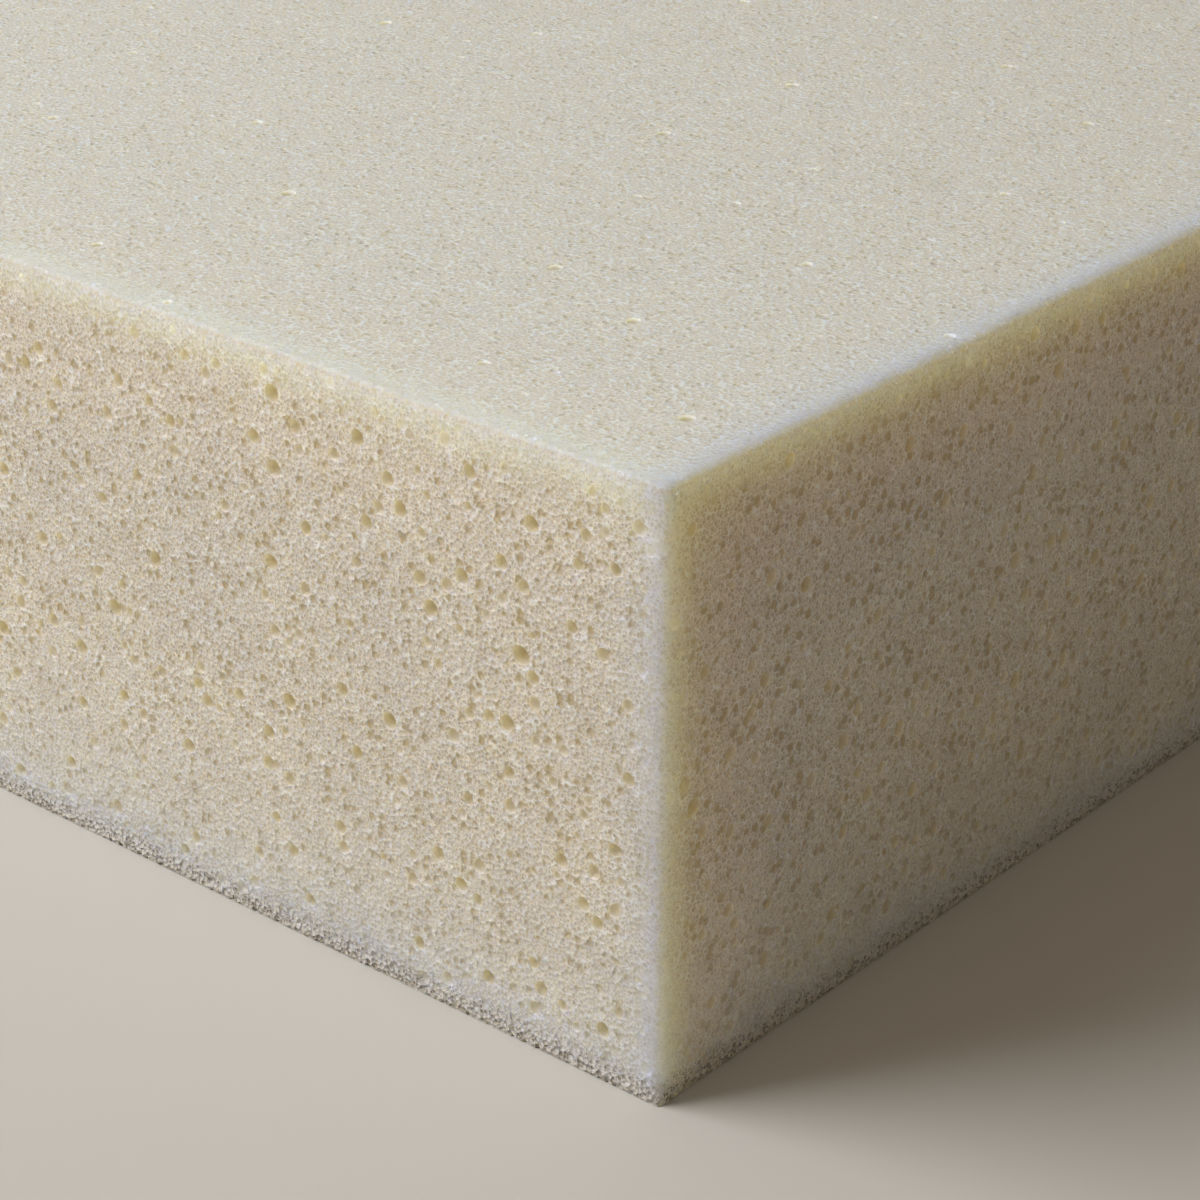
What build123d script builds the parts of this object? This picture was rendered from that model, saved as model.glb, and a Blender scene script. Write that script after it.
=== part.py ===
from build123d import *
import math
import os
import random
from dataclasses import dataclass

# A square block of open-cell upholstery foam, cut on all six sides. Foam is a packing of gas
# cells, each close to a pentagonal dodecahedron, and the saw opens the ones that it meets, so
# that facetted round pits stand in every face. The largest cells are modelled here; the
# network between them is far finer than a millimetre.

# Driving dimensions of the block, in millimetres
LENGTH = 200.0
WIDTH = 200.0
THICKNESS = 75.0

# Soft edge that the cell walls fold into along every cut
EDGE_RADIUS = 1.0

# The upright cut sides are coarse: mouth widths of the opened cells, how deep each pit is
# for its mouth, and the area of face that holds one of them
SIDE_MOUTHS = (1.8, 2.5)
SIDE_DEPTH_SHARE = 0.55
SIDE_AREA_EACH = 268.0

# The two wide faces are finer, with shallow pits further apart
WIDE_MOUTHS = (1.6, 2.2)
WIDE_DEPTH_SHARE = 0.36
WIDE_AREA_EACH = 1000.0

# Foam left standing between two pits, and between a pit and the soft edge
CELL_WALL = 1.2
EDGE_WALL = 0.6

# Each new cell takes the loneliest of this many tried places
PLACE_TRIES = 10
SCATTER_SEED = 75

# Cells that stand out beside the front right corner of the block: distance in from that
# upright edge, share of the thickness up from the base, and mouth width
FRONT_CELLS = [
    (20.1, 0.66, 2.7), (22.2, 0.54, 2.4), (40.0, 0.46, 2.4), (14.4, 0.35, 2.2),
    (45.3, 0.38, 2.2), (8.3, 0.09, 2.2), (27.3, 0.92, 2.1), (43.9, 0.91, 2.3),
    (37.6, 0.82, 2.2), (52.4, 0.73, 2.1), (28.6, 0.75, 2.1), (29.4, 0.23, 2.1),
    (36.1, 0.09, 2.0), (4.9, 0.53, 2.0), (9.1, 0.27, 2.0), (47.4, 0.48, 2.1),
]
RIGHT_CELLS = [
    (14.8, 0.58, 1.9), (28.8, 0.55, 2.0), (40.0, 0.43, 2.0), (47.9, 0.68, 1.9),
    (18.6, 0.38, 2.0), (12.8, 0.24, 1.9), (29.3, 0.11, 1.9), (43.3, 0.20, 1.9),
]

# A regular dodecahedron's mean radius for a corner radius of 1
CELL_MEAN_RADIUS = 0.9


@dataclass
class CutFace:
    """A face of the block: its outward plane, its side lengths and the cells it opens."""

    plane: Plane
    across: float
    up: float
    mouths: tuple
    depth_share: float
    area_each: float
    shown: list


def cut_faces():
    """The six faces, each with its local X level and its local Z pointing out of the foam."""
    half_length, half_width, mid = LENGTH / 2, WIDTH / 2, THICKNESS / 2
    front = Plane(origin=(0, -half_width, mid), x_dir=(1, 0, 0), z_dir=(0, -1, 0))
    right = Plane(origin=(half_length, 0, mid), x_dir=(0, 1, 0), z_dir=(1, 0, 0))
    back = Plane(origin=(0, half_width, mid), x_dir=(-1, 0, 0), z_dir=(0, 1, 0))
    left = Plane(origin=(-half_length, 0, mid), x_dir=(0, -1, 0), z_dir=(-1, 0, 0))
    top = Plane(origin=(0, 0, THICKNESS), x_dir=(1, 0, 0), z_dir=(0, 0, 1))
    base = Plane(origin=(0, 0, 0), x_dir=(1, 0, 0), z_dir=(0, 0, -1))
    on_front = [(half_length - x, (z - 0.5) * THICKNESS, mouth) for x, z, mouth in FRONT_CELLS]
    on_right = [(x - half_width, (z - 0.5) * THICKNESS, mouth) for x, z, mouth in RIGHT_CELLS]
    side = (SIDE_MOUTHS, SIDE_DEPTH_SHARE, SIDE_AREA_EACH)
    wide = (WIDE_MOUTHS, WIDE_DEPTH_SHARE, WIDE_AREA_EACH)
    return [
        CutFace(front, LENGTH, THICKNESS, *side, on_front),
        CutFace(right, WIDTH, THICKNESS, *side, on_right),
        CutFace(back, LENGTH, THICKNESS, *side, []),
        CutFace(left, WIDTH, THICKNESS, *side, []),
        CutFace(top, LENGTH, WIDTH, *wide, []),
        CutFace(base, LENGTH, WIDTH, *wide, []),
    ]


def wall_left(x, y, mouth, cells):
    """Thickness of the foam between a cell here and the nearest one in the list."""
    return min((math.hypot(x - a, y - b) - (mouth + other) / 2 for a, b, other in cells),
               default=math.inf)


def scattered_cells(face, draw):
    """Even but irregular places for the cells that one face opens: x, y and mouth width."""
    cells = list(face.shown)
    for _ in range(round(face.across * face.up / face.area_each) - len(cells)):
        mouth = draw.uniform(*face.mouths)
        inset = EDGE_RADIUS + EDGE_WALL + mouth / 2
        reach_x, reach_y = face.across / 2 - inset, face.up / 2 - inset
        tried = [(draw.uniform(-reach_x, reach_x), draw.uniform(-reach_y, reach_y))
                 for _ in range(PLACE_TRIES)]
        x, y = max(tried, key=lambda place: wall_left(*place, mouth, cells))
        if wall_left(x, y, mouth, cells) >= CELL_WALL:
            cells.append((x, y, mouth))
    return cells


def dodecahedron():
    """A regular dodecahedron about the origin with a corner radius of 1."""
    golden = (1 + math.sqrt(5)) / 2
    signs = (-1, 1)
    corners = [Vector(x, y, z) for x in signs for y in signs for z in signs]
    axes = []
    for a in signs:
        for b in signs:
            for turn in range(3):
                corner = [0, a / golden, b * golden]
                axis = [0, a * golden, b]
                corners.append(Vector(*corner[turn:], *corner[:turn]))
                axes.append(Vector(*axis[turn:], *axis[:turn]).normalized())
    sides = []
    for axis in axes:
        ring = sorted(corners, key=lambda corner: -corner.dot(axis))[:5]
        start = ring[0] - axis * ring[0].dot(axis)
        across = axis.cross(start)
        ring.sort(key=lambda corner: math.atan2(corner.dot(across), corner.dot(start)))
        sides.append(Face(Wire.make_polygon([c * (1 / math.sqrt(3)) for c in ring])))
    return Solid(Shell(sides))


def opened_cell(shape, mouth, depth, draw):
    """A cell turned at random, sunk so that it opens a pit of this mouth and depth at Z = 0."""
    radius = (mouth * mouth / 4 + depth * depth) / (2 * depth)
    turned = Rot(*(draw.uniform(0, 360) for _ in range(3))) * scale(
        shape, radius / CELL_MEAN_RADIUS)
    return Pos(0, 0, radius - depth) * turned


def foam_block():
    """The cut block with its soft edges and its opened cells."""
    block = Box(LENGTH, WIDTH, THICKNESS, align=(Align.CENTER, Align.CENTER, Align.MIN))
    block = fillet(block.edges(), EDGE_RADIUS)
    draw = random.Random(SCATTER_SEED)
    shape = dodecahedron()
    cells = []
    for face in cut_faces():
        for x, y, mouth in scattered_cells(face, draw):
            cell = opened_cell(shape, mouth, mouth * face.depth_share, draw)
            cells.append(face.plane * Pos(x, y) * cell)
    print("cells opened:", len(cells))
    return block - cells


os.makedirs("parts", exist_ok=True)
export_step(foam_block(), "parts/foam_block.step")
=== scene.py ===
import itertools
import math
import random
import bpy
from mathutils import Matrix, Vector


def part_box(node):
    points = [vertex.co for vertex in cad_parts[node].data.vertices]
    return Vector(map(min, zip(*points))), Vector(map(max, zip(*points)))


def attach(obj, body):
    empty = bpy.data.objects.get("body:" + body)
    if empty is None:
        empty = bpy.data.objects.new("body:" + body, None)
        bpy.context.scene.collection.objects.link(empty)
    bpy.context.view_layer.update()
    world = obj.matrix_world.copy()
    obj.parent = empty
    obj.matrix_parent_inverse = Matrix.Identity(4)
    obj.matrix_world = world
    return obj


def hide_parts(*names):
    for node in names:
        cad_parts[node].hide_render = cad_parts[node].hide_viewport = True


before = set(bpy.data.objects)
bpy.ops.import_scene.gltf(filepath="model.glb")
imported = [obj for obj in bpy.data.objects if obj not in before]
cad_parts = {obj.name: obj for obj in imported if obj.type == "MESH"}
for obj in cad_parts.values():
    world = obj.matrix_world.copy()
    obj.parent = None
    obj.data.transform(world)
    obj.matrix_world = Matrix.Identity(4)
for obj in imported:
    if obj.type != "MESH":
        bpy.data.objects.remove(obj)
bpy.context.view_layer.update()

from types import SimpleNamespace
from typing import NamedTuple

import bpy
import numpy as np
from bpy.props import FloatProperty, FloatVectorProperty, IntProperty, PointerProperty
from mathutils import Matrix, Vector

bl_info = {
    "name": "Upholstery foam block",
    "version": (1, 0, 0),
    "blender": (4, 5, 0),
    "location": "3D View > Sidebar > Foam",
    "description": "Cuts a block of open-cell upholstery foam and sets it on a pale studio floor",
    "category": "Object",
}

MM = 0.001
SOLID = "foam_block"
SOLID_LOW, SOLID_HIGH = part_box(SOLID)


# Settings

class FoamBlockSettings(bpy.types.PropertyGroup):
    """Sizes and colours of the foam block."""

    edge_radius: FloatProperty(
        name="Edge radius", description="Softness of the cut edges",
        default=1.0 * MM, subtype="DISTANCE", unit="LENGTH")
    base_edge_share: FloatProperty(
        name="Base edge", description="Softness of the edges on the floor as a share of the rest",
        default=0.2, subtype="FACTOR")
    grid_step: FloatProperty(
        name="Grid step", description="Spacing of the faces that the block is cut from",
        default=10.0 * MM, subtype="DISTANCE", unit="LENGTH")
    cell_wall: FloatProperty(
        name="Cell wall", description="Least foam left between two opened cells",
        default=0.06 * MM, subtype="DISTANCE", unit="LENGTH")
    seed: IntProperty(
        name="Seed", description="Start of the random places of the opened cells", default=12)
    strut_colour: FloatVectorProperty(
        name="Struts", description="Pale threads of the cell network", subtype="COLOR",
        default=(0.88, 0.83, 0.75))
    # Beads: whitish specks where the threads meet, painted as glints
    bead_colour: FloatVectorProperty(
        name="Beads", description="Whitish beads where the threads meet", subtype="COLOR",
        default=(0.92, 0.91, 0.88))
    cell_colour: FloatVectorProperty(
        name="Cells", description="Shaded hollows between the threads", subtype="COLOR",
        default=(0.57, 0.485, 0.365))
    # Pores: their own ochre, partly painted shade of hollows too fine to be modelled
    shaded_pore_colour: FloatVectorProperty(
        name="Pores", description="Small opened cells, too fine to be modelled", subtype="COLOR",
        default=(0.60, 0.49, 0.31))
    # Pits: their own yellow, darkened a little as painted shade
    shaded_pit_colour: FloatVectorProperty(
        name="Pits", description="Inside of the larger opened cells", subtype="COLOR",
        default=(0.66, 0.58, 0.44))
    # Painted shade: darker towards the floor of the deepest pits
    deep_pit_shade_colour: FloatVectorProperty(
        name="Deep pits", description="Floor of the deepest opened cells", subtype="COLOR",
        default=(0.56, 0.455, 0.30))
    # Painted shade: the shallow pits of top and base darkened against the light on their walls
    shaded_wide_pit_colour: FloatVectorProperty(
        name="Pits of the wide faces", description="Inside of the shallow cells of top and base",
        subtype="COLOR", default=(0.53, 0.49, 0.38))
    # Frost: whitish torn threads along the cut edges, partly painted light that brightens them
    frost_colour: FloatVectorProperty(
        name="Frost", description="Whitish torn threads along the cut edges", subtype="COLOR",
        default=(0.86, 0.845, 0.80))
    # Painted light: the sides pale towards the base as if lit from the floor
    floor_bounce_colour: FloatVectorProperty(
        name="Dust", description="Pale bloom on the lower part of the sides", subtype="COLOR",
        default=(0.85, 0.83, 0.79))
    # Painted shade: dark gaps in the torn network beside the base
    hole_shade_colour: FloatVectorProperty(
        name="Holes", description="Gaps in the torn network beside the base", subtype="COLOR",
        default=(0.22, 0.18, 0.13))


class FoamStageSettings(bpy.types.PropertyGroup):
    """Floor, light and camera."""

    floor_colour: FloatVectorProperty(
        name="Floor", description="Colour of the plain floor", subtype="COLOR",
        default=(0.62, 0.60, 0.57))
    key_power: FloatProperty(
        name="Key light", description="Power of the large soft light on the left", default=26.2,
        unit="POWER")
    key_colour: FloatVectorProperty(
        name="Key colour", description="Colour of the large soft light", subtype="COLOR",
        default=(0.985, 0.985, 0.98))
    sky_strength: FloatProperty(
        name="Sky", description="Strength of the even light from all round", default=0.23)
    sky_colour: FloatVectorProperty(
        name="Sky colour", description="Colour of the even light from all round",
        subtype="COLOR", default=(1.0, 0.86, 0.67))
    lens: FloatProperty(
        name="Lens", description="Focal length of the camera in millimetres", default=102.95)
    azimuth: FloatProperty(
        name="Azimuth", description="Turn of the camera round the block", subtype="ANGLE",
        default=math.radians(40.28))
    elevation: FloatProperty(
        name="Elevation", description="Height of the camera above level", subtype="ANGLE",
        default=math.radians(26.21))
    roll: FloatProperty(
        name="Roll", description="Tilt of the camera to one side", subtype="ANGLE",
        default=math.radians(0.31))
    distance: FloatProperty(
        name="Distance", description="From the camera to the point that it looks at",
        default=351.6 * MM, subtype="DISTANCE", unit="LENGTH")
    aim_left: FloatProperty(
        name="Aim left", description="How far left of the near corner the camera looks",
        default=6.83 * MM, subtype="DISTANCE", unit="LENGTH")
    aim_height: FloatProperty(
        name="Aim height", description="Height above the floor that the camera looks at",
        default=62.6 * MM, subtype="DISTANCE", unit="LENGTH")


# The block and its opened cells

EDGE_SEGMENTS = 4
SMOOTH_ANGLE = math.radians(44)

# What lies less deep than this below the rounded faces is the skin and no pit
SKIN_DEPTH = 0.002 * MM

# The solid's cells are found again from the corners of its pits. Corners that agree to so many
# decimals of a metre are one. A corner lies this deep at least and this near the next one of
# its pit, a pit has this many corners at least, and it isn't wider than this. The cell is then
# cut a little smaller than in the solid.
CORNER_DECIMALS = 7
CORNER_DEPTH = 0.02 * MM
CORNER_GAP = 1.15 * MM
LEAST_CORNERS = 4
PIT_WIDTH = 2.9 * MM
SOLID_CELL_SHARE = 0.93

# Neighbours are looked up in bins as wide as the largest opened cell
BIN_SIZE = 3.2 * MM

# How much the cells differ: their tilt in radians, and what a squeeze along an axis and a dent
# at a corner leave of the radius
CELL_TILT = 0.4
CELL_SQUEEZE = 0.88
CELL_DENT = 0.92

# A cell of a face that finds no room is tried at this many places in all
FACE_TRIES = 6

# The knots of an edge lie up to this share of the largest one above or below it, and turn this
# many radians past its quarter circle
KNOT_REACH = 0.55
KNOT_OVERTURN = 0.15


class FaceCells(NamedTuple):
    """Cells scattered over a face. A sink is a centre's depth as a share of the radius."""

    per_square_mm: float
    radii: tuple
    sinks: tuple
    inset: float


class EdgeKnots(NamedTuple):
    """Tiny cells along an edge: the length of edge that has one, and their radii."""

    pitch: float
    radii: tuple


SIDE_CELLS = (
    FaceCells(per_square_mm=0.0200, radii=(0.90 * MM, 1.35 * MM), sinks=(-0.50, 0.1),
              inset=0.3 * MM),
    FaceCells(per_square_mm=0.0085, radii=(0.50 * MM, 0.80 * MM), sinks=(-0.3, 0.3),
              inset=0.0),
)
WIDE_FACE_CELLS = FaceCells(
    per_square_mm=0.0050, radii=(1.10 * MM, 1.60 * MM), sinks=(-0.82, -0.68), inset=0.3 * MM)
UPPER_KNOTS = EdgeKnots(pitch=1.4 * MM, radii=(0.18 * MM, 0.34 * MM))
BASE_KNOTS = EdgeKnots(pitch=0.45 * MM, radii=(0.28 * MM, 0.68 * MM))


def select_only(piece):
    """Leaves this one object selected and active."""
    bpy.ops.object.select_all(action="DESELECT")
    piece.select_set(True)
    bpy.context.view_layer.objects.active = piece


def rounded_block(settings):
    """A box of the solid's size with soft edges, its faces cut into a grid."""
    size = SOLID_HIGH - SOLID_LOW
    bpy.ops.object.select_all(action="DESELECT")
    bpy.ops.mesh.primitive_cube_add(size=1.0, location=(SOLID_LOW + SOLID_HIGH) / 2)
    block = bpy.context.object
    block.name = block.data.name = "foam"
    block.scale = size
    bpy.ops.object.transform_apply(location=True, rotation=True, scale=True)
    weight = block.data.attributes.new("bevel_weight_edge", "FLOAT", "EDGE")
    for edge in block.data.edges:
        height = sum(block.data.vertices[end].co.z for end in edge.vertices) / 2
        at_base = height < SOLID_LOW.z + MM
        weight.data[edge.index].value = settings.base_edge_share if at_base else 1.0
    soften = block.modifiers.new("soft_edges", "BEVEL")
    soften.limit_method = "WEIGHT"
    soften.width = settings.edge_radius
    soften.segments = EDGE_SEGMENTS
    bpy.ops.object.modifier_apply(modifier=soften.name)
    bpy.ops.object.mode_set(mode="EDIT")
    for axis in range(3):
        normal = [float(axis == other) for other in range(3)]
        cuts = round(size[axis] / settings.grid_step)
        for step in range(1, cuts):
            place = SOLID_LOW + size * (step / cuts)
            bpy.ops.mesh.select_all(action="SELECT")
            bpy.ops.mesh.bisect(plane_co=place, plane_no=normal)
    bpy.ops.object.mode_set(mode="OBJECT")
    return block


class OpenedCells:
    """The cells that the saw opens, none touching another."""

    def __init__(self, wall):
        self.wall = wall
        self.bins = {}
        self.cells = []

    def bin_of(self, centre):
        return tuple(int(math.floor(c / BIN_SIZE)) for c in centre)

    def is_free(self, centre, radius):
        x, y, z = self.bin_of(centre)
        for a, b, c in itertools.product((-1, 0, 1), repeat=3):
            for other, reach in self.bins.get((x + a, y + b, z + c), ()):
                if (centre - other).length < radius + reach + self.wall:
                    return False
        return True

    def add(self, centre, radius, shape, facing):
        """Takes the cell if it has room."""
        if not self.is_free(centre, radius):
            return False
        self.bins.setdefault(self.bin_of(centre), []).append((centre, radius))
        self.cells.append((centre, radius, shape, facing))
        return True


def depth_below_skin(points, edge_radius):
    """How deep each point lies below the rounded faces of the block."""
    half = np.array((SOLID_HIGH - SOLID_LOW) / 2) - edge_radius
    middle = np.array((SOLID_LOW + SOLID_HIGH) / 2)
    away = np.abs(points - middle) - half
    outside = np.linalg.norm(np.maximum(away, 0), axis=1)
    inside = np.minimum(away.max(axis=1), 0)
    return edge_radius - outside - inside


def ball_through(points):
    """Centre and radius of the ball that fits these points best."""
    matrix = np.hstack([2 * points, np.ones((len(points), 1))])
    fit = np.linalg.lstsq(matrix, (points ** 2).sum(axis=1), rcond=None)[0]
    return Vector(fit[:3]), math.sqrt(fit[3] + (fit[:3] ** 2).sum())


def cells_of_the_solid(settings):
    """Centre and radius of each large cell that the solid has, from the corners of its pits."""
    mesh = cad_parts[SOLID].data
    points = np.array([vertex.co for vertex in mesh.vertices])
    points = np.unique(np.round(points, CORNER_DECIMALS), axis=0)
    left = points[depth_below_skin(points, settings.edge_radius) > CORNER_DEPTH]
    found = []
    while len(left):
        group, rest = left[:1], left[1:]
        while True:
            gap = np.linalg.norm(rest[:, None] - group[None], axis=2).min(axis=1)
            close = gap < CORNER_GAP
            if not close.any():
                break
            group = np.vstack([group, rest[close]])
            rest = rest[~close]
        left = rest
        if len(group) >= LEAST_CORNERS and np.ptp(group, axis=0).max() < PIT_WIDTH:
            found.append(ball_through(group))
    return found


def cut_sides():
    """The six faces: a corner, the two edges from it and the normal that points out."""
    size = SOLID_HIGH - SOLID_LOW
    across, along, up = (Vector((size.x, 0, 0)), Vector((0, size.y, 0)), Vector((0, 0, size.z)))
    low, high = SOLID_LOW, SOLID_HIGH
    return {
        "front": (low, across, up, Vector((0, -1, 0))),
        "back": (high, -across, -up, Vector((0, 1, 0))),
        "left": (low, along, up, Vector((-1, 0, 0))),
        "right": (high, -along, -up, Vector((1, 0, 0))),
        "base": (low, across, along, Vector((0, 0, -1))),
        "top": (high, -across, -along, Vector((0, 0, 1))),
    }


def scatter_on_face(cells, face, kind, draw):
    """Opens cells of one kind all over one face."""
    corner, first, second, normal = face
    for _ in range(round(first.length * second.length * kind.per_square_mm / MM ** 2)):
        radius = draw.uniform(*kind.radii)
        sink = draw.uniform(*kind.sinks) * radius
        margin = kind.inset + radius
        for _ in range(FACE_TRIES):
            a = draw.uniform(margin, first.length - margin)
            b = draw.uniform(margin, second.length - margin)
            place = corner + first.normalized() * a + second.normalized() * b - normal * sink
            if cells.add(place, radius, "bowl", normal):
                break


def block_edges():
    """The twelve edges: two ends and the two directions that lead into the block."""
    low, high = SOLID_LOW, SOLID_HIGH
    edges = []
    for axis in range(3):
        others = [other for other in range(3) if other != axis]
        for first in (0, 1):
            for second in (0, 1):
                start, end = low.copy(), low.copy()
                end[axis] = high[axis]
                inward = [Vector((0, 0, 0)), Vector((0, 0, 0))]
                for side, other, way in zip((first, second), others, inward):
                    start[other] = end[other] = (low, high)[side][other]
                    way[other] = 1 - 2 * side
                edges.append((start, end, *inward))
    return edges


def scatter_on_edge(cells, edge, edge_radius, knots, draw):
    """Opens small cells along one soft edge, so that it is a little ragged."""
    start, end, inward_a, inward_b = edge
    along = (end - start).normalized()
    axis_line = start + (inward_a + inward_b) * edge_radius
    length = (end - start).length
    reach = KNOT_REACH * knots.radii[1]
    for _ in range(round(length / knots.pitch)):
        radius = draw.uniform(*knots.radii)
        turn = draw.uniform(-KNOT_OVERTURN, math.pi / 2 + KNOT_OVERTURN)
        depth = draw.uniform(-reach, reach)
        out = -(inward_a * math.cos(turn) + inward_b * math.sin(turn))
        place = axis_line + along * draw.uniform(0, length) + out * (edge_radius - depth)
        cells.add(place, radius, "knot", out)


def scatter_the_cells(settings, draw):
    """All the cells that are cut out of the block: the solid's, the knots, then the rest."""
    cells = OpenedCells(settings.cell_wall)
    for centre, radius in cells_of_the_solid(settings):
        cells.add(centre, radius * SOLID_CELL_SHARE, "bubble", Vector((0, 0, 1)))
    for edge in block_edges():
        if max(edge[0].z, edge[1].z) < SOLID_LOW.z + MM:
            radius, knots = settings.edge_radius * settings.base_edge_share, BASE_KNOTS
        else:
            radius, knots = settings.edge_radius, UPPER_KNOTS
        scatter_on_edge(cells, edge, radius, knots, draw)
    sides = cut_sides()
    for name in ("front", "right", "back", "left"):
        for kind in SIDE_CELLS:
            scatter_on_face(cells, sides[name], kind, draw)
    for name in ("top", "base"):
        scatter_on_face(cells, sides[name], WIDE_FACE_CELLS, draw)
    return cells.cells


def cell_shapes():
    """Corners and faces of the three kinds of cell, each with a radius of 1."""
    shapes = {}
    for name, make, options in (
            ("bubble", bpy.ops.mesh.primitive_ico_sphere_add, {"subdivisions": 2}),
            ("bowl", bpy.ops.mesh.primitive_uv_sphere_add, {"segments": 8, "ring_count": 4}),
            ("knot", bpy.ops.mesh.primitive_ico_sphere_add, {"subdivisions": 1})):
        bpy.ops.object.select_all(action="DESELECT")
        make(radius=1.0, **options)
        ball = bpy.context.object
        bpy.ops.object.mode_set(mode="EDIT")
        bpy.ops.mesh.select_all(action="SELECT")
        bpy.ops.mesh.quads_convert_to_tris()
        bpy.ops.object.mode_set(mode="OBJECT")
        shapes[name] = (
            np.array([vertex.co for vertex in ball.data.vertices]),
            np.array([face.vertices[:] for face in ball.data.polygons]))
        bpy.data.objects.remove(ball)
    return shapes


def cell_bodies(cells, draw):
    """One mesh of all the opened cells: rounded and a little uneven."""
    shapes = cell_shapes()
    uneven = np.random.default_rng(draw.randrange(10 ** 6))
    points, faces, base = [], [], 0
    for centre, radius, shape, facing in cells:
        corners, sides = shapes[shape]
        tilt = Matrix.Rotation(draw.uniform(-CELL_TILT, CELL_TILT), 3, "X")
        spin = Matrix.Rotation(draw.uniform(0, math.tau), 3, "Z")
        turn = facing.to_track_quat("Z", "Y").to_matrix() @ tilt @ spin
        squeeze = [draw.uniform(CELL_SQUEEZE, 1.0) for _ in range(3)]
        dents = uneven.uniform(CELL_DENT, 1.0, (len(corners), 1))
        points.append((corners * dents * squeeze) @ np.array(turn).T * radius + np.array(centre))
        faces.append(sides + base)
        base += len(corners)
    mesh = bpy.data.meshes.new("opened_cells")
    mesh.from_pydata(np.vstack(points).tolist(), [], np.vstack(faces).tolist())
    bodies = bpy.data.objects.new("opened_cells", mesh)
    bpy.context.scene.collection.objects.link(bodies)
    return bodies


def crisp_rims(mesh):
    """Marks the rim of every pit sharp, so that the flat face round it is shaded flat."""
    corners = np.empty(len(mesh.loops), dtype=np.int32)
    mesh.loops.foreach_get("vertex_index", corners)
    edges = np.empty(len(mesh.loops), dtype=np.int32)
    mesh.loops.foreach_get("edge_index", edges)
    depth = np.empty(len(mesh.vertices), dtype=np.float32)
    mesh.attributes["pit_depth"].data.foreach_get("value", depth)
    on_skin = depth[corners].reshape(-1, 3).max(axis=1) < SKIN_DEPTH
    skin_sides = np.bincount(edges, weights=np.repeat(on_skin, 3), minlength=len(mesh.edges))
    sharp = mesh.attributes.get("sharp_edge")
    if sharp is None:
        sharp = mesh.attributes.new("sharp_edge", "BOOLEAN", "EDGE")
    marks = np.empty(len(mesh.edges), dtype=bool)
    sharp.data.foreach_get("value", marks)
    sharp.data.foreach_set("value", marks | (skin_sides == 1))


def open_the_cells(block, settings):
    """Cuts every opened cell out of the block."""
    draw = random.Random(settings.seed)
    bodies = cell_bodies(scatter_the_cells(settings, draw), draw)
    select_only(block)
    cut = block.modifiers.new("open_cells", "BOOLEAN")
    cut.operation = "DIFFERENCE"
    cut.solver = "MANIFOLD"
    cut.object = bodies
    bpy.ops.object.modifier_apply(modifier=cut.name)
    bpy.data.objects.remove(bodies)
    triangulate = block.modifiers.new("triangles", "TRIANGULATE")
    bpy.ops.object.modifier_apply(modifier=triangulate.name)
    points = np.array([vertex.co for vertex in block.data.vertices])
    depth = np.clip(depth_below_skin(points, settings.edge_radius), 0, 1)
    kept = block.data.attributes.new("pit_depth", "FLOAT", "POINT")
    kept.data.foreach_set("value", depth.astype(np.float32))
    bpy.ops.object.shade_smooth_by_angle(angle=SMOOTH_ANGLE)
    crisp_rims(block.data)


# Nodes of a material

def opaque(colour):
    return (*colour, 1.0)


class NodeMaker:
    """Short calls for the nodes of one material. A value is a number or another node's output."""

    # Places of a mix node's colour sockets, which share their names with others
    MIX_SHARE, MIX_FIRST, MIX_SECOND, MIX_RESULT = 0, 6, 7, 2

    def __init__(self, name):
        self.material = bpy.data.materials.new(name)
        self.material.use_nodes = True
        self.tree = self.material.node_tree
        self.tree.nodes.clear()

    def node(self, kind, **settings):
        made = self.tree.nodes.new(kind)
        for name, value in settings.items():
            setattr(made, name, value)
        return made

    def link(self, source, target):
        if isinstance(source, bpy.types.NodeSocket):
            self.tree.links.new(source, target)
        else:
            target.default_value = source

    def math(self, operation, *values):
        made = self.node("ShaderNodeMath", operation=operation)
        for value, socket in zip(values, made.inputs):
            self.link(value, socket)
        return made.outputs[0]

    def times(self, first, *others):
        for other in others:
            first = self.math("MULTIPLY", first, other)
        return first

    def ramp(self, value, low, high, out_low=0.0, out_high=1.0, smooth=True):
        made = self.node("ShaderNodeMapRange", clamp=True,
                         interpolation_type="SMOOTHSTEP" if smooth else "LINEAR")
        for number, socket in zip((value, low, high, out_low, out_high), made.inputs):
            self.link(number, socket)
        return made.outputs[0]

    def mix(self, share, first, second, blend="MIX"):
        """Mixes two colours, each of them three numbers or another node's output."""
        made = self.node("ShaderNodeMix", data_type="RGBA", blend_type=blend)
        self.link(share, made.inputs[self.MIX_SHARE])
        for colour, socket in ((first, self.MIX_FIRST), (second, self.MIX_SECOND)):
            if not isinstance(colour, bpy.types.NodeSocket):
                colour = opaque(colour)
            self.link(colour, made.inputs[socket])
        return made.outputs[self.MIX_RESULT]

    def tint(self, share, colour, tint):
        return self.mix(share, colour, tint, "MULTIPLY")

    def cells(self, place, scale, feature="F1"):
        made = self.node("ShaderNodeTexVoronoi", feature=feature)
        self.link(place, made.inputs["Vector"])
        made.inputs["Scale"].default_value = scale
        return made

    def split_colour(self, colour):
        made = self.node("ShaderNodeSeparateColor")
        self.link(colour, made.inputs[0])
        return made.outputs

    def surface(self, shader):
        output = self.node("ShaderNodeOutputMaterial")
        self.link(shader.outputs[0], output.inputs["Surface"])


# The foam's finish. Lengths on the block are in millimetres, and a pair of them says where a
# change starts and where it ends.

# How far in from a wide face its tint and the look of its pits reach
WIDE_FACE_REACH = (0.10, 0.50)
WIDE_PIT_REACH = (1.0, 1.6)

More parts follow.
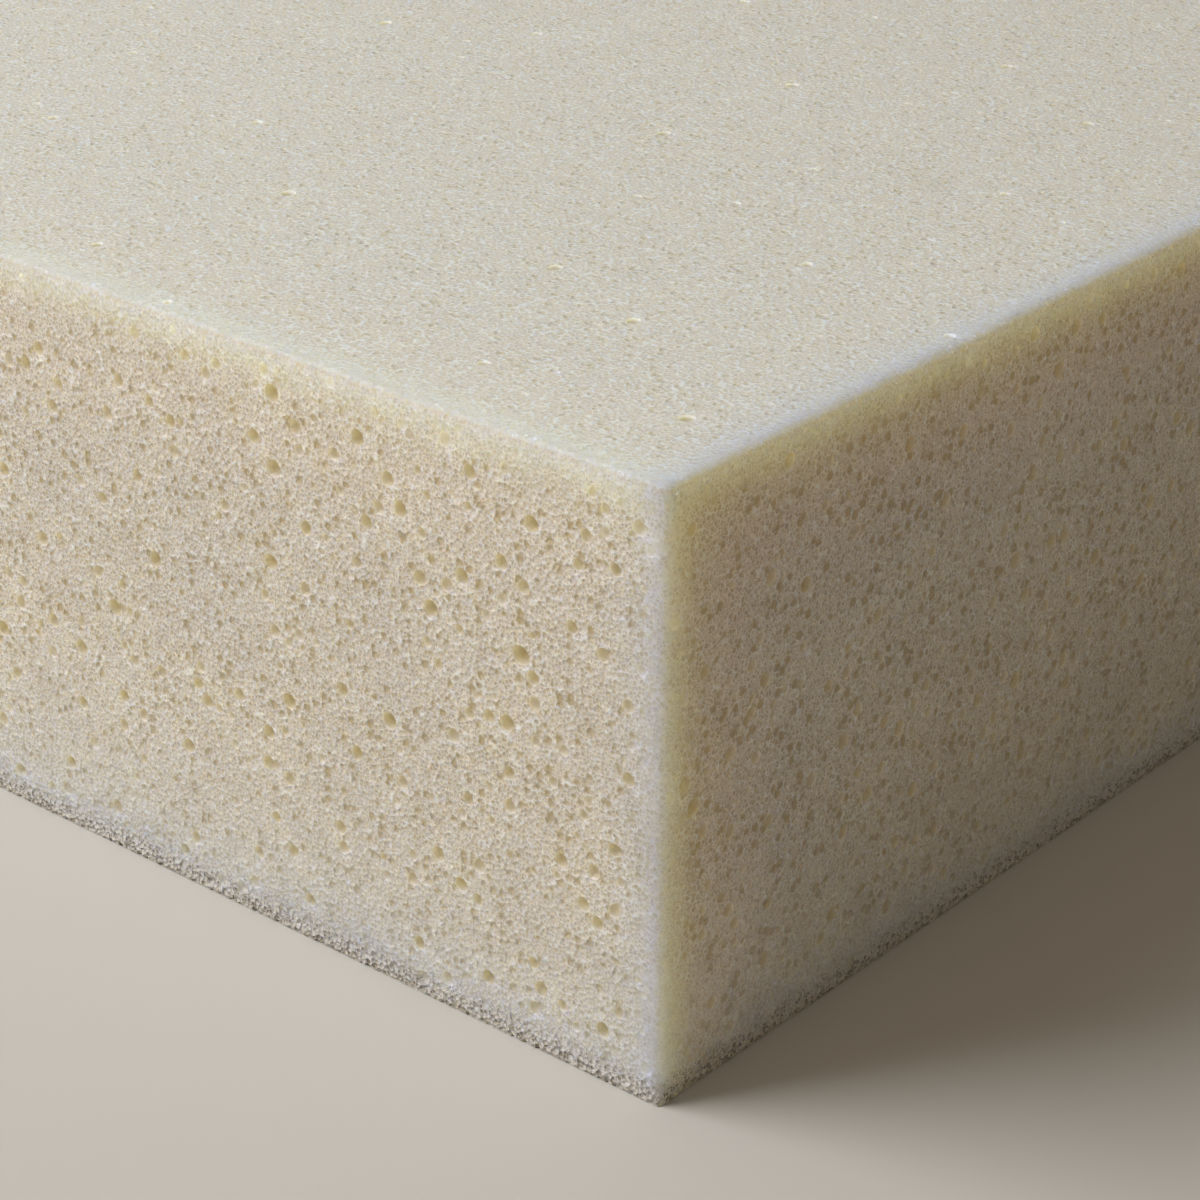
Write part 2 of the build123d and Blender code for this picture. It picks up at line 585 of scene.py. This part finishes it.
# Heights of the torn lace above the base, and of the painted light from the floor that pales
# the sides further up, with its strength
LACE_HEIGHTS = (4.5, 0.8)
FLOOR_BOUNCE_HEIGHTS = (32.0, 3.0)
FLOOR_BOUNCE_SHARE = 0.32

# Fine cells to a millimetre. A thread runs where the two nearest centres are about equally
# far, and a bead painted as a glint sits where even the nearest is far, with more of them on
# the wide faces. The cells differ in shade by this share of the way from a hollow to a thread.
FINE_CELLS = 1.85
THREAD_GAP = (0.03, 0.24)
BEAD_GLINT_DISTANCE = (0.68, 0.88)
WIDE_FACE_BEAD_GLINTS = 0.12
CELL_SHADE_SPREAD = 0.55

# Pores to a millimetre, and in the measure of their own pattern their radii, their rim, the
# bowl inside it and how far the fine cells break the rim in and out. Then how much of the
# pore's colour, partly painted shade, the whole pore has and its bowl adds.
PORES = 0.70
PORE_RADII = (0.18, 0.46)
PORE_RIM = (-0.02, 0.07)
PORE_BOWL = (-0.02, 0.30)
RIM_BREAK = 0.08
PORE_SHARE, BOWL_SHARE = 0.55, 0.45

# What is left on the wide faces of the pores, of the dishes of the fine cells and of their
# hollows, and what the sides have of the hollows
WIDE_FACE_PORES = 0.3
WIDE_FACE_DISHES = 0.30
WIDE_FACE_HOLLOWS, SIDE_HOLLOWS = 0.50, 0.95

# The larger pits, in metres: the depths over which the network fades, over which their own
# colour with painted shade comes, and over which it turns to the painted shade of the deep ones.
# The lace takes most of this away, and a pore takes some of the network.
PIT_BARE = (0.0, 0.18 * MM)
PIT_BARE_SHARE = 0.85
PIT_DEPTH = (0.02 * MM, 0.45 * MM)
DEEP_SHADE_DEPTH = (0.4 * MM, 1.5 * MM)
PIT_LOST_IN_LACE = 0.9
NETWORK_LOST_IN_PORE = 0.7

# Frost on the torn threads, partly painted light that brightens the edges: its distance from
# the edge, how much the pores and fine cells make that uneven, and how much of it the hollows
# take on the sides and in the lace
FROST_DISTANCE = (1.3, 7.5)
FROST_BY_PORE, FROST_BY_CELL = 1.6, 1.8
FROSTED_HOLLOWS, FROSTED_LACE_HOLLOWS = 0.55, 0.10

# Gaps in the lace: which of the fine cells are open, and how dark the painted shade in them is
HOLE_CHANCE = (0.52, 0.60)
HOLE_SHARE = 0.8

# Tints, each multiplied with the colour below it, and the distances over which they come: from
# an edge, and for the rim of the wide faces also from the face. Near the edges and in the lace
# the tint is painted light that offsets the hue of the inner glow there, and on the rim it is
# painted shade that warms and dims the bluish bevel of top and base.
WIDE_FACE_TINT = (0.97, 1.03, 1.07)
LACE_LIGHT_TINT = (1.02, 0.99, 0.94)
NEAR_EDGE_LIGHT_TINT = (0.97, 0.99, 1.04)
NEAR_EDGE = (12.0, 1.0)
RIM_SHADE_TINT = (0.97, 0.93, 0.86)
RIM_FROM_EDGE = (2.4, 0.5)
RIM_FROM_WIDE_FACE = (1.2, 0.4)

# Relief: height of the dishes' rims away from the frost and in it, and depth of the pores
DISH_HEIGHT, FROSTED_DISH_HEIGHT = 0.36, 0.60
PORE_DEPTH = 0.65

# Gloss of the network and of the pits
NETWORK_ROUGHNESS, PIT_ROUGHNESS = 0.42, 0.85
SPECULAR = 0.4

# Light that passes into the foam: its reach in red, green and blue, and its share inside a
# face, at an edge and in the pits of the wide faces. The lace keeps this much of it.
GLOW_COLOURS = (1.0, 0.74, 0.20)
GLOW_REACH = 22.0 * MM
GLOW_FROM_EDGE = (7.0, 0.6)
FACE_GLOW, EDGE_GLOW = 0.66, 0.95
WIDE_PIT_GLOW = 0.97
WIDE_PIT_GLOW_DEPTH = (0.0, 0.06 * MM)
LACE_GLOW = 0.3


def find_places(make, foam):
    """Where a point lies on the block: its height and its distance from faces and edges."""
    coordinates = make.node("ShaderNodeTexCoord")
    in_mm = make.node("ShaderNodeVectorMath", operation="SCALE")
    make.link(coordinates.outputs["Object"], in_mm.inputs[0])
    in_mm.inputs["Scale"].default_value = 1 / MM
    foam.place = in_mm.outputs[0]
    apart = make.node("ShaderNodeSeparateXYZ")
    make.link(foam.place, apart.inputs[0])
    foam.height = apart.outputs[2]
    half = (SOLID_HIGH - SOLID_LOW) / 2 / MM
    middle = (SOLID_HIGH + SOLID_LOW) / 2 / MM
    reach = []
    for axis in range(3):
        off_middle = make.math("SUBTRACT", apart.outputs[axis], middle[axis])
        reach.append(make.math("SUBTRACT", half[axis], make.math("ABSOLUTE", off_middle)))
    foam.from_wide_face = reach[2]
    # The distance to the nearest edge is the middle one of the three distances to the faces
    pairs = [make.math("MAXIMUM", reach[a], reach[b]) for a, b in ((0, 1), (1, 2), (0, 2))]
    foam.to_edge = make.math("MINIMUM", make.math("MINIMUM", pairs[0], pairs[1]), pairs[2])
    foam.wide_face = make.ramp(foam.from_wide_face, *WIDE_FACE_REACH, 1.0, 0.0)
    foam.wide_pit = make.ramp(foam.from_wide_face, *WIDE_PIT_REACH, 1.0, 0.0)
    foam.lace = make.ramp(foam.height, *LACE_HEIGHTS)


def draw_fine_cells(make, foam):
    """Cells a little over half a millimetre across, with beads painted as glints where threads
    meet.
    """
    nearest = make.cells(foam.place, FINE_CELLS)
    second = make.cells(foam.place, FINE_CELLS, "F2")
    foam.distance = nearest.outputs["Distance"]
    gap = make.math("SUBTRACT", second.outputs["Distance"], foam.distance)
    foam.hollow = make.ramp(gap, *THREAD_GAP)
    bead_distance = make.math("MULTIPLY_ADD", foam.wide_face, WIDE_FACE_BEAD_GLINTS, foam.distance)
    foam.bead = make.ramp(bead_distance, *BEAD_GLINT_DISTANCE)
    foam.shade_chance, foam.hole_chance, foam.frost_chance = make.split_colour(
        nearest.outputs["Color"])


def draw_pores(make, foam):
    """Pores of uneven size, their rims broken by the fine cells."""
    nearest = make.cells(foam.place, PORES)
    foam.pore_distance = nearest.outputs["Distance"]
    chance = make.split_colour(nearest.outputs["Color"])[0]
    radius = make.ramp(chance, 0.0, 1.0, *PORE_RADII, smooth=False)
    broken_rim = make.math("MULTIPLY_ADD", foam.distance, -2 * RIM_BREAK, RIM_BREAK)
    inside = make.math("ADD", make.math("SUBTRACT", radius, foam.pore_distance), broken_rim)
    foam.coarse = make.ramp(foam.wide_face, 0.0, 1.0, 1.0, WIDE_FACE_PORES, smooth=False)
    foam.pore = make.times(make.ramp(inside, *PORE_RIM), foam.coarse)
    foam.bowl = make.times(make.ramp(inside, *PORE_BOWL), foam.coarse)


def smooth_the_pits(make, foam):
    """Takes the pores and the network away inside the larger pits."""
    kept_in_lace = make.math("MULTIPLY_ADD", foam.lace, -PIT_LOST_IN_LACE, 1.0)
    pit_depth = make.node("ShaderNodeAttribute", attribute_name="pit_depth")
    foam.depth = make.times(pit_depth.outputs["Fac"], kept_in_lace)
    foam.pit = make.ramp(foam.depth, *PIT_DEPTH)
    inside = make.ramp(foam.depth, *PIT_BARE, 0.0, PIT_BARE_SHARE)
    outside = make.math("SUBTRACT", 1.0, inside)
    foam.pore = make.times(foam.pore, outside)
    foam.bowl = make.times(foam.bowl, outside)
    kept_in_pore = make.math("MULTIPLY_ADD", foam.pore, -NETWORK_LOST_IN_PORE, 1.0)
    foam.network = make.times(outside, kept_in_pore)
    sides = (foam.coarse, WIDE_FACE_PORES, 1.0)
    foam.dish = make.times(
        make.math("POWER", foam.distance, 2.0), foam.network,
        make.ramp(*sides, WIDE_FACE_DISHES, 1.0, smooth=False))
    foam.hollow = make.times(
        foam.hollow, foam.network,
        make.ramp(*sides, WIDE_FACE_HOLLOWS, SIDE_HOLLOWS, smooth=False))


def find_frost(make, foam):
    """Frost beside the edges, partly painted light, full on the threads and thinner in the
    hollows.
    """
    by_cell = make.math("MULTIPLY_ADD", foam.frost_chance, FROST_BY_CELL, foam.to_edge)
    ragged = make.math("MULTIPLY_ADD", foam.pore_distance, FROST_BY_PORE, by_cell)
    foam.frost = make.ramp(ragged, *FROST_DISTANCE, 1.0, 0.0)
    in_hollow = make.ramp(foam.lace, 0.0, 1.0, FROSTED_HOLLOWS, FROSTED_LACE_HOLLOWS)
    foam.thread_frost = make.times(
        foam.frost, make.ramp(foam.hollow, 0.0, 1.0, 1.0, in_hollow))


def foam_colour(make, foam, settings):
    """Threads and hollows, then pores, painted floor light, pits with painted shade, frost with
    painted edge light, gaps of painted shade, and the tints over all, partly painted light and
    shade.
    """
    shade = make.mix(make.times(foam.shade_chance, CELL_SHADE_SPREAD),
                     settings.cell_colour, settings.strut_colour)
    colour = make.mix(foam.hollow, settings.strut_colour, shade)
    # Pores in their ochre, partly painted shade of their hollows
    in_pore = make.math("MULTIPLY_ADD", foam.bowl, BOWL_SHARE,
                        make.times(foam.pore, PORE_SHARE))
    colour = make.mix(in_pore, colour, settings.shaded_pore_colour)
    # Beads where the threads meet, painted as glints
    colour = make.mix(make.times(foam.bead, foam.network), colour, settings.bead_colour)
    # Painted light from the floor, paling the sides towards the base
    floor_bounce = make.ramp(foam.height, *FLOOR_BOUNCE_HEIGHTS, 0.0, FLOOR_BOUNCE_SHARE)
    colour = make.mix(floor_bounce, colour, settings.floor_bounce_colour)
    # Painted shade in the pits: darker with depth, and darker in the shallow pits of the wide
    # faces
    pit_shade_lining = make.mix(make.ramp(foam.depth, *DEEP_SHADE_DEPTH),
                      settings.shaded_pit_colour, settings.deep_pit_shade_colour)
    pit_shade_lining = make.mix(foam.wide_pit, pit_shade_lining, settings.shaded_wide_pit_colour)
    colour = make.mix(foam.pit, colour, pit_shade_lining)
    # Frost on the torn threads by the edges, partly painted light
    colour = make.mix(foam.thread_frost, colour, settings.frost_colour)
    # Painted shade in the gaps of the lace
    hole = make.times(foam.hollow, foam.lace, make.ramp(foam.hole_chance, *HOLE_CHANCE),
                      HOLE_SHARE)
    colour = make.mix(hole, colour, settings.hole_shade_colour)
    colour = make.tint(foam.wide_face, colour, WIDE_FACE_TINT)
    # Painted light: warmer in the lace, against the bluish light that the inner glow leaves there
    colour = make.tint(foam.lace, colour, LACE_LIGHT_TINT)
    # Painted light: cooler near the edges, against the yellow that the inner glow gathers there
    colour = make.tint(make.ramp(foam.to_edge, *NEAR_EDGE), colour, NEAR_EDGE_LIGHT_TINT)
    # Painted shade: warmer and dimmer on the rounded rim of top and base
    rim = make.times(make.ramp(foam.to_edge, *RIM_FROM_EDGE),
                     make.ramp(foam.from_wide_face, *RIM_FROM_WIDE_FACE))
    return make.tint(rim, colour, RIM_SHADE_TINT)


def foam_relief(make, foam):
    """Each fine cell is a dish and the pores are deeper."""
    height = make.ramp(foam.frost, 0.0, 1.0, DISH_HEIGHT, FROSTED_DISH_HEIGHT)
    relief = make.math("MULTIPLY_ADD", foam.bowl, -PORE_DEPTH, make.times(foam.dish, height))
    bump = make.node("ShaderNodeBump")
    bump.inputs["Strength"].default_value = 1.0
    bump.inputs["Distance"].default_value = 1.0 * MM
    make.link(relief, bump.inputs["Height"])
    return bump.outputs[0]


def inner_glow(make, foam):
    """Share of the light that passes into the foam, most beside the edges."""
    on_face = make.ramp(foam.to_edge, *GLOW_FROM_EDGE, FACE_GLOW, EDGE_GLOW)
    in_pit = make.times(make.ramp(foam.depth, *WIDE_PIT_GLOW_DEPTH), foam.wide_pit,
                        WIDE_PIT_GLOW)
    return make.times(make.math("MAXIMUM", on_face, in_pit),
                      make.ramp(foam.lace, 0.0, 1.0, 1.0, LACE_GLOW, smooth=False))


def foam_material(settings):
    """Cream open-cell foam: fine cell network, small pores, yellow pits, whitish edges, with
    painted light and shade.
    """
    make = NodeMaker("foam_open_cell")
    foam = SimpleNamespace()
    find_places(make, foam)
    draw_fine_cells(make, foam)
    draw_pores(make, foam)
    smooth_the_pits(make, foam)
    find_frost(make, foam)
    shader = make.node("ShaderNodeBsdfPrincipled", subsurface_method="BURLEY")
    make.link(foam_colour(make, foam, settings), shader.inputs["Base Color"])
    make.link(make.ramp(foam.pit, 0.0, 1.0, NETWORK_ROUGHNESS, PIT_ROUGHNESS),
              shader.inputs["Roughness"])
    shader.inputs["Specular IOR Level"].default_value = SPECULAR
    make.link(inner_glow(make, foam), shader.inputs["Subsurface Weight"])
    shader.inputs["Subsurface Radius"].default_value = GLOW_COLOURS
    shader.inputs["Subsurface Scale"].default_value = GLOW_REACH
    make.link(foam_relief(make, foam), shader.inputs["Normal"])
    make.surface(shader)
    return make.material


class FOAM_OT_make_block(bpy.types.Operator):
    """Cut the foam block, open its cells and give it its finish"""

    bl_idname = "foam.make_block"
    bl_label = "Make foam block"

    def execute(self, context):
        settings = context.scene.foam_block
        block = rounded_block(settings)
        open_the_cells(block, settings)
        block.data.materials.clear()
        block.data.materials.append(foam_material(settings))
        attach(block, "root")
        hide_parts(SOLID)
        return {"FINISHED"}


# Floor, light and camera

FLOOR_SIZE = 6.0
FLOOR_BELOW_BASE = 0.02 * MM
FLOOR_ROUGHNESS = 0.85
FLOOR_SPECULAR = 0.2

# The key light stands in this direction from the block's middle, high on the left
KEY_DIRECTION = (-0.60, -0.54, 0.70)
KEY_DISTANCE = 1.6
KEY_SIZE = 1.1

SENSOR_WIDTH_MM = 36.0
NEAREST_SEEN, FARTHEST_SEEN = 0.01, 20.0

# Bounces of the light, and the noise that the render may leave
LIGHT_BOUNCES = 4
DIFFUSE_BOUNCES = 2
NOISE_LIMIT = 0.2


def plain_floor(settings):
    """A wide plain floor just under the block."""
    bpy.ops.object.select_all(action="DESELECT")
    bpy.ops.mesh.primitive_plane_add(
        size=FLOOR_SIZE, location=(0, 0, SOLID_LOW.z - FLOOR_BELOW_BASE))
    floor = bpy.context.object
    floor.name = "floor"
    make = NodeMaker("floor_plain")
    shader = make.node("ShaderNodeBsdfPrincipled")
    shader.inputs["Base Color"].default_value = opaque(settings.floor_colour)
    shader.inputs["Roughness"].default_value = FLOOR_ROUGHNESS
    shader.inputs["Specular IOR Level"].default_value = FLOOR_SPECULAR
    make.surface(shader)
    floor.data.materials.append(make.material)


def key_light(settings):
    """A large square light that faces the middle of the block."""
    data = bpy.data.lights.new("key", "AREA")
    data.shape = "SQUARE"
    data.size = KEY_SIZE
    data.energy = settings.key_power
    data.color = settings.key_colour
    light = bpy.data.objects.new("key", data)
    direction = Vector(KEY_DIRECTION).normalized()
    light.location = Vector((0, 0, SOLID_HIGH.z / 2)) + direction * KEY_DISTANCE
    light.rotation_euler = direction.to_track_quat("Z", "Y").to_euler()
    bpy.context.scene.collection.objects.link(light)


def even_sky(settings):
    """Even light from all round."""
    world = bpy.data.worlds.new("sky")
    world.use_nodes = True
    background = world.node_tree.nodes["Background"]
    background.inputs["Color"].default_value = opaque(settings.sky_colour)
    background.inputs["Strength"].default_value = settings.sky_strength
    bpy.context.scene.world = world


def place_camera(settings):
    """The camera at the photograph's place, aimed beside the near upright edge."""
    turn, lift = settings.azimuth, settings.elevation
    back = Vector((math.sin(turn) * math.cos(lift), -math.cos(turn) * math.cos(lift),
                   math.sin(lift)))
    right = Vector((math.cos(turn), math.sin(turn), 0))
    near_corner = Vector((SOLID_HIGH.x, SOLID_LOW.y, SOLID_LOW.z))
    aim = near_corner - right * settings.aim_left + Vector((0, 0, settings.aim_height))
    data = bpy.data.cameras.new("camera")
    data.sensor_width = SENSOR_WIDTH_MM
    data.lens = settings.lens
    data.clip_start, data.clip_end = NEAREST_SEEN, FARTHEST_SEEN
    camera = bpy.data.objects.new("camera", data)
    camera.location = aim + back * settings.distance
    upright = back.to_track_quat("Z", "Y").to_matrix()
    camera.rotation_euler = (upright @ Matrix.Rotation(settings.roll, 3, "Z")).to_euler()
    bpy.context.scene.collection.objects.link(camera)
    bpy.context.scene.camera = camera


class FOAM_OT_make_stage(bpy.types.Operator):
    """Lay the floor, set the soft light and place the camera"""

    bl_idname = "foam.make_stage"
    bl_label = "Make stage"

    def execute(self, context):
        settings = context.scene.foam_stage
        plain_floor(settings)
        key_light(settings)
        even_sky(settings)
        context.scene.view_settings.view_transform = "Standard"
        context.scene.cycles.max_bounces = LIGHT_BOUNCES
        context.scene.cycles.diffuse_bounces = DIFFUSE_BOUNCES
        context.scene.cycles.adaptive_threshold = NOISE_LIMIT
        place_camera(settings)
        return {"FINISHED"}


class FOAM_PT_panel(bpy.types.Panel):
    """Sidebar panel with the block, its stage and their settings"""

    bl_idname = "FOAM_PT_panel"
    bl_label = "Upholstery foam"
    bl_space_type = "VIEW_3D"
    bl_region_type = "UI"
    bl_category = "Foam"

    def draw(self, context):
        for operator, settings in ((FOAM_OT_make_block, context.scene.foam_block),
                                   (FOAM_OT_make_stage, context.scene.foam_stage)):
            self.layout.operator(operator.bl_idname)
            for name in settings.__annotations__:
                self.layout.prop(settings, name)


CLASSES = (FoamBlockSettings, FoamStageSettings, FOAM_OT_make_block, FOAM_OT_make_stage,
           FOAM_PT_panel)


def register():
    for each in CLASSES:
        bpy.utils.register_class(each)
    bpy.types.Scene.foam_block = PointerProperty(type=FoamBlockSettings)
    bpy.types.Scene.foam_stage = PointerProperty(type=FoamStageSettings)


def unregister():
    del bpy.types.Scene.foam_stage
    del bpy.types.Scene.foam_block
    for each in reversed(CLASSES):
        bpy.utils.unregister_class(each)


def main():
    register()
    bpy.ops.foam.make_block()
    bpy.ops.foam.make_stage()


if __name__ == "__main__":
    main()
